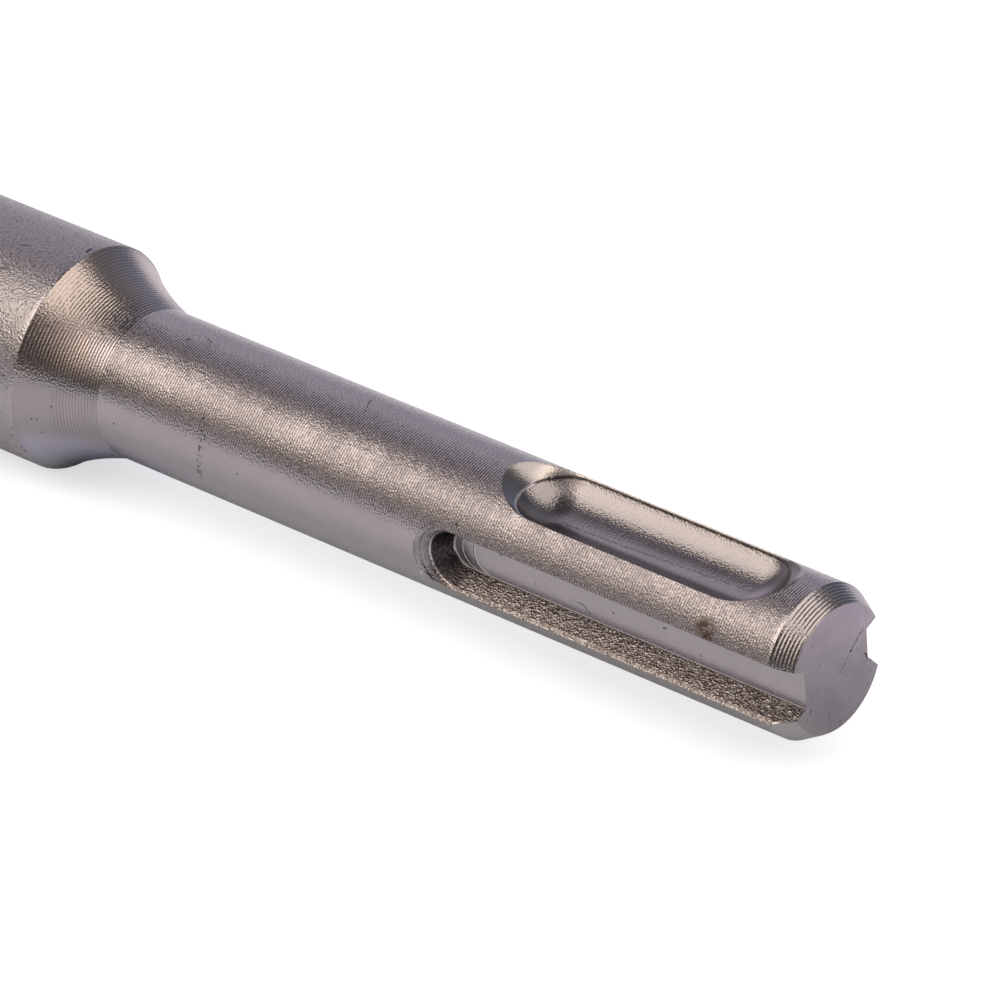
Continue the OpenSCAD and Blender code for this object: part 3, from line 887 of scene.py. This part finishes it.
class BIT_OT_braze(Operator):
    """Give the brazing film its dull yellow finish"""
    bl_idname = "drill_bit.braze"
    bl_label = "Braze"

    def execute(self, context):
        finish = context.scene.bit_finish
        g = Graph(bpy.data.materials.new("brazing_alloy"))
        flow = g.noise(g.place(), 2.5, 3.0, 0.6)
        shade = g.mix(flow, times(0.7, finish.braze), times(1.15, finish.braze))
        material = g.finish({"Metallic": 1.0}, Base_Color=shade, Roughness=0.4 + 0.2 * flow,
                            Normal=g.bump(flow, 0.06))
        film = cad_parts["braze_seam"]
        film.data.materials.clear()
        film.data.materials.append(material)
        return {"FINISHED"}


def lamp(name, at, target, size, power):
    """A soft panel that faces a target."""
    data = bpy.data.lights.new(name, "AREA")
    data.energy = power
    data.color = WARM_LIGHT
    data.shape = "RECTANGLE"
    data.size, data.size_y = size
    made = bpy.data.objects.new(name, data)
    bpy.context.scene.collection.objects.link(made)
    made.location = at
    made.rotation_euler = (Vector(target) - Vector(at)).to_track_quat("-Z", "Y").to_euler()


WARM_LIGHT = (1.0, 0.885, 0.79)
FLOOR_HALF = 2.5
FLOOR_GLOW = (1, 0.88, 1.12)            # tint of the glow that the bit mirrors
GLOW_FROM = (1, 20)                     # millimetres from the bit's axis where that glow begins and is full
CAMERA_RAY, MIRROR_RAY = 0, 3           # outputs of the Light Path node
# Soft glow of the room: the direction it comes from and its colour. A higher SPREAD makes each glow narrower.
SPREAD = 14
AMBIENT = (0.05, 0.05, 0.055)
ROOM = (
    ((-0.26, -0.75, 0.61), (0.82, 0.68, 0.49)),
    ((0.01, -0.60, 0.80), (1.09, 0.90, 0.86)),
    ((-0.75, 0.66, -0.04), (0.35, 0.38, 0.40)),
    ((-0.73, 0.49, 0.46), (0.90, 0.80, 0.93)),
    ((0.93, 0.35, 0.13), (1.20, 0.98, 1.08)),
    ((0.02, 0.83, 0.56), (0.17, 0.17, 0.19)),
    ((-0.98, -0.19, 0.04), (0.60, 0.52, 0.56)),
    ((-0.27, 0.96, 0.08), (0.16, 0.19, 0.31)),
)


class BIT_OT_studio(Operator):
    """Lay the floor, hang the soft lamps and set the camera"""
    bl_idname = "drill_bit.studio"
    bl_label = "Studio"

    def execute(self, context):
        scene = context.scene
        studio = scene.bit_studio
        self.floor(scene, studio)
        self.light(scene, studio)
        self.camera(scene, studio)
        return {"FINISHED"}

    def floor(self, scene, studio):
        low = CAD_BOX[0].z
        corners = [(FLOOR_HALF * x, FLOOR_HALF * y, low) for x, y in ((-1, -1), (1, -1), (1, 1), (-1, 1))]
        floor = mesh_object("pale_floor", corners, [(0, 1, 2, 3)])
        g = Graph(bpy.data.materials.new("pale_floor"))
        # The floor glows, painted light, for rays that the bit mirrors; near the bit the glow is left out as painted
        # shade
        away = g.step(g.size(g.parts(g.place())[1]), *GLOW_FROM)
        mirrored = g.node("ShaderNodeLightPath", out=MIRROR_RAY) * away
        lit = g.mix(mirrored, (0, 0, 0), times(studio.glow, FLOOR_GLOW))
        lit = g.mix(g.node("ShaderNodeLightPath", out=CAMERA_RAY), lit, (studio.lift,) * 3)
        material = g.finish({"Base Color": (*studio.floor, 1), "Roughness": 0.9, "Specular IOR Level": 0.1,
                             "Emission Strength": 1.0}, Emission_Color=lit)
        floor.data.materials.append(material)

    def light(self, scene, studio):
        g = Graph(bpy.data.worlds.new("plain_room"))
        scene.world = g.owner
        direction = g.node("ShaderNodeTexCoord")
        room = AMBIENT
        for toward, shade in ROOM:
            near = g.vector("DOT_PRODUCT", direction, Vector(toward).normalized(), out=1)
            share = g.maths("EXPONENT", SPREAD * (near - 1))
            glow = g.node("ShaderNodeVectorMath", {"operation": "SCALE"}, {0: shade, 3: share})
            room = g.vector("ADD", room, glow)
        g.node("ShaderNodeOutputWorld", None, {"Surface": g.node("ShaderNodeBackground", None, {"Color": room})})
        middle = (-0.03, 0, 0)
        lamp("key_panel", (-0.57, -0.43, 0.73), middle, (0.78, 0.70), studio.key)
        lamp("second_panel", (0.56, 0.18, 0.79), middle, (1.0, 1.0), studio.second)

    def camera(self, scene, studio):
        data = bpy.data.cameras.new("camera")
        data.sensor_width = 36
        data.lens = studio.lens / MM
        data.clip_start = 0.01
        made = bpy.data.objects.new("camera", data)
        scene.collection.objects.link(made)
        level = Matrix.Translation(studio.camera_at) @ Matrix.Rotation(studio.azimuth, 4, "Z") \
            @ Matrix.Rotation(math.pi / 2 - studio.elevation, 4, "X")
        made.matrix_world = Matrix.Rotation(-studio.bit_turn, 4, "X") @ level
        scene.camera = made
        scene.view_settings.view_transform = "Standard"


class BIT_PT_panel(Panel):
    """The sidebar panel"""
    bl_idname = "BIT_PT_panel"
    bl_label = "Drill Bit"
    bl_space_type = "VIEW_3D"
    bl_region_type = "UI"
    bl_category = "Drill Bit"

    def draw(self, context):
        for operator in OPERATORS:
            self.layout.operator(operator.bl_idname)
        for group, kind in ((context.scene.bit_sizes, BitSizes), (context.scene.bit_finish, BitFinish),
                            (context.scene.bit_studio, StudioSettings)):
            box = self.layout.box()
            for name in kind.__annotations__:
                box.prop(group, name)


GROUPS = {"bit_sizes": BitSizes, "bit_finish": BitFinish, "bit_studio": StudioSettings}
OPERATORS = (BIT_OT_steel, BIT_OT_plate, BIT_OT_braze, BIT_OT_studio)


def register():
    for kind in (*GROUPS.values(), *OPERATORS, BIT_PT_panel):
        bpy.utils.register_class(kind)
    for name, kind in GROUPS.items():
        setattr(bpy.types.Scene, name, PointerProperty(type=kind))


def unregister():
    for name in GROUPS:
        delattr(bpy.types.Scene, name)
    for kind in reversed((*GROUPS.values(), *OPERATORS, BIT_PT_panel)):
        bpy.utils.unregister_class(kind)


def main():
    register()
    for operator in OPERATORS:
        group, name = operator.bl_idname.split(".")
        getattr(getattr(bpy.ops, group), name)()


if __name__ == "__main__":
    main()
